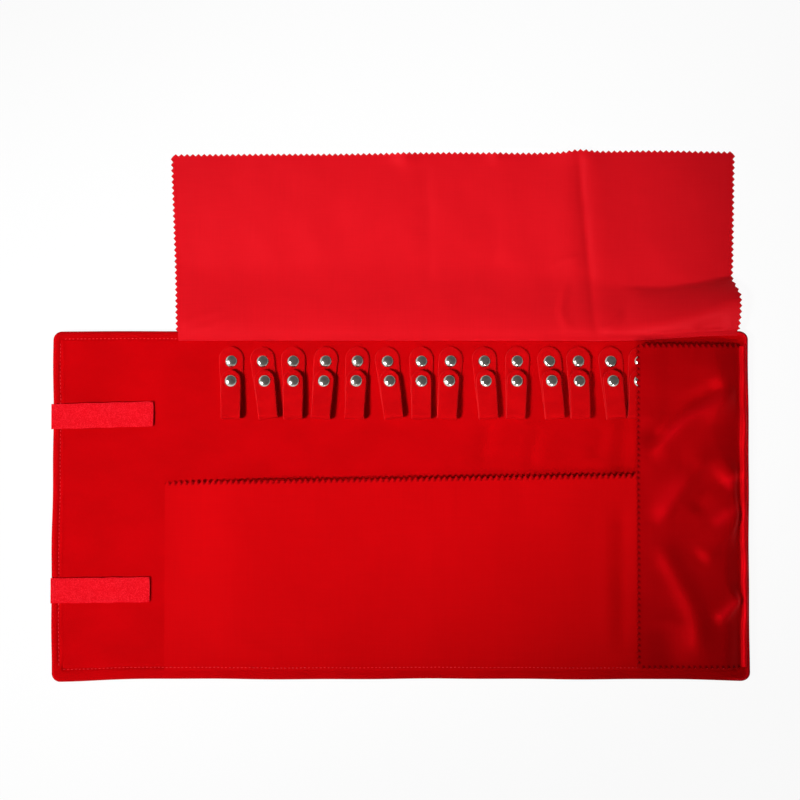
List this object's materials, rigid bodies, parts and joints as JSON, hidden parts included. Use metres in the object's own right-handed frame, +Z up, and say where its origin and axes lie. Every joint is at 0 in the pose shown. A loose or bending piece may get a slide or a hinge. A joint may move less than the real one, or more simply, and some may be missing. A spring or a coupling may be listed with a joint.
{
  "type": "jewelry roll",
  "caption": "Padded fabric jewelry roll laid open, with a row of snap straps for strands and chains, a pocket, a top flap, a side flap and hook-and-loop closure straps.",
  "frame": {"origin": "Centre of the flat underside of the pad, on the table that the open roll lies on.", "axes": "+X runs along the pad's length to the side flap, +Y points to the open top flap, +Z is up."},
  "size_m": [0.556, 0.4238, 0.0174],
  "materials": {
    "pad_velvet": "short red pile",
    "foam": "open-cell foam sheet",
    "flap_satin": "smooth satin weave",
    "side_flap_satin": "smooth satin weave in shade",
    "pocket_cloth": "smooth matt cloth",
    "loop_tape": "fuzzy loop tape",
    "hook_tape": "stiff hook tape",
    "strap_suede": "suede-like nap",
    "nickel": "bright nickel plate"
  },
  "bodies": {
    "pad": {"main_outer_cover": "pad_velvet", "main_foam": "foam", "main_lining": "pad_velvet", "pocket_panel": "pocket_cloth", "pocket_base": "pocket_cloth", "hook_patch_upper": "hook_tape", "hook_patch_lower": "hook_tape", "anchor_rivet_row": "nickel", "strap_back_01": "strap_suede", "strap_back_02": "strap_suede", "strap_back_03": "strap_suede", "strap_back_04": "strap_suede", "strap_back_05": "strap_suede", "strap_back_06": "strap_suede", "strap_back_07": "strap_suede", "strap_back_08": "strap_suede", "strap_back_09": "strap_suede", "strap_back_10": "strap_suede", "strap_back_11": "strap_suede", "strap_back_12": "strap_suede", "strap_back_13": "strap_suede", "strap_back_14": "strap_suede", "strap_front_14": "strap_suede", "snap_cap_14": "nickel"},
    "closing_panel": {"closing_outer_cover": "pad_velvet", "closing_foam": "foam", "closing_lining": "pad_velvet"},
    "top_flap": {"top_flap": "flap_satin"},
    "side_flap": {"side_flap": "side_flap_satin"},
    "closure_strap_upper": {"closure_strap_upper": "loop_tape"},
    "closure_strap_lower": {"closure_strap_lower": "loop_tape"},
    "strap_01": {"strap_front_01": "strap_suede", "snap_cap_01": "nickel"},
    "strap_02": {"strap_front_02": "strap_suede", "snap_cap_02": "nickel"},
    "strap_03": {"strap_front_03": "strap_suede", "snap_cap_03": "nickel"},
    "strap_04": {"strap_front_04": "strap_suede", "snap_cap_04": "nickel"},
    "strap_05": {"strap_front_05": "strap_suede", "snap_cap_05": "nickel"},
    "strap_06": {"strap_front_06": "strap_suede", "snap_cap_06": "nickel"},
    "strap_07": {"strap_front_07": "strap_suede", "snap_cap_07": "nickel"},
    "strap_08": {"strap_front_08": "strap_suede", "snap_cap_08": "nickel"},
    "strap_09": {"strap_front_09": "strap_suede", "snap_cap_09": "nickel"},
    "strap_10": {"strap_front_10": "strap_suede", "snap_cap_10": "nickel"},
    "strap_11": {"strap_front_11": "strap_suede", "snap_cap_11": "nickel"},
    "strap_12": {"strap_front_12": "strap_suede", "snap_cap_12": "nickel"},
    "strap_13": {"strap_front_13": "strap_suede", "snap_cap_13": "nickel"}
  },
  "joints": [
    {"name": "top_flap_fold", "type": "hinge", "parent": "pad", "child": "top_flap", "pos_m": [0.048, 0.135, 0.0097], "axis": [-1, 0, 0], "range_deg": [-176, 0]},
    {"name": "closing_panel_fold", "type": "hinge", "parent": "pad", "child": "closing_panel", "pos_m": [-0.192, 0, 0.0082], "axis": [0, -1, 0], "range_deg": [-100, 0]},
    {"name": "side_flap_fold", "type": "hinge", "parent": "pad", "child": "side_flap", "pos_m": [0.274, 0, 0.0089], "axis": [0, 1, 0], "range_deg": [0, 180]},
    {"name": "closure_strap_upper_swing", "type": "hinge", "parent": "closing_panel", "child": "closure_strap_upper", "pos_m": [-0.278, 0.0724, 0.0081], "axis": [0, -1, 0], "range_deg": [0, 180]},
    {"name": "closure_strap_lower_swing", "type": "hinge", "parent": "closing_panel", "child": "closure_strap_lower", "pos_m": [-0.278, -0.0672, 0.0081], "axis": [0, -1, 0], "range_deg": [0, 180]},
    {"name": "strap_01_open", "type": "hinge", "parent": "pad", "child": "strap_01", "pos_m": [-0.1347, 0.0692, 0.0115], "axis": [1, 0, 0], "range_deg": [0, 150]},
    {"name": "strap_02_open", "type": "hinge", "parent": "pad", "child": "strap_02", "pos_m": [-0.10464, 0.06946, 0.0115], "axis": [0.9945, 0.1045, 0], "range_deg": [0, 150]},
    {"name": "strap_03_open", "type": "hinge", "parent": "pad", "child": "strap_03", "pos_m": [-0.085, 0.0692, 0.0115], "axis": [1, 0, 0], "range_deg": [0, 150]},
    {"name": "strap_04_open", "type": "hinge", "parent": "pad", "child": "strap_04", "pos_m": [-0.06315, 0.06938, 0.0115], "axis": [0.9962, -0.0872, 0], "range_deg": [0, 150]},
    {"name": "strap_05_open", "type": "hinge", "parent": "pad", "child": "strap_05", "pos_m": [-0.03613, 0.06926, 0.0115], "axis": [0.9986, -0.0523, 0], "range_deg": [0, 150]},
    {"name": "strap_06_open", "type": "hinge", "parent": "pad", "child": "strap_06", "pos_m": [-0.00444, 0.0695, 0.0115], "axis": [0.9936, 0.1132, 0], "range_deg": [0, 150]},
    {"name": "strap_07_open", "type": "hinge", "parent": "pad", "child": "strap_07", "pos_m": [0.0175, 0.0692, 0.0115], "axis": [1, 0, 0], "range_deg": [0, 150]},
    {"name": "strap_08_open", "type": "hinge", "parent": "pad", "child": "strap_08", "pos_m": [0.03766, 0.06931, 0.0115], "axis": [0.9976, -0.0698, 0], "range_deg": [0, 150]},
    {"name": "strap_09_open", "type": "hinge", "parent": "pad", "child": "strap_09", "pos_m": [0.07124, 0.06931, 0.0115], "axis": [0.9976, 0.0698, 0], "range_deg": [0, 150]},
    {"name": "strap_10_open", "type": "hinge", "parent": "pad", "child": "strap_10", "pos_m": [0.09278, 0.06923, 0.0115], "axis": [0.9994, -0.0349, 0], "range_deg": [0, 150]},
    {"name": "strap_11_open", "type": "hinge", "parent": "pad", "child": "strap_11", "pos_m": [0.12425, 0.06938, 0.0115], "axis": [0.9962, 0.0872, 0], "range_deg": [0, 150]},
    {"name": "strap_12_open", "type": "hinge", "parent": "pad", "child": "strap_12", "pos_m": [0.14462, 0.06922, 0.0115], "axis": [0.9997, 0.0262, 0], "range_deg": [0, 150]},
    {"name": "strap_13_open", "type": "hinge", "parent": "pad", "child": "strap_13", "pos_m": [0.17325, 0.06938, 0.0115], "axis": [0.9962, 0.0872, 0], "range_deg": [0, 150]}
  ]
}
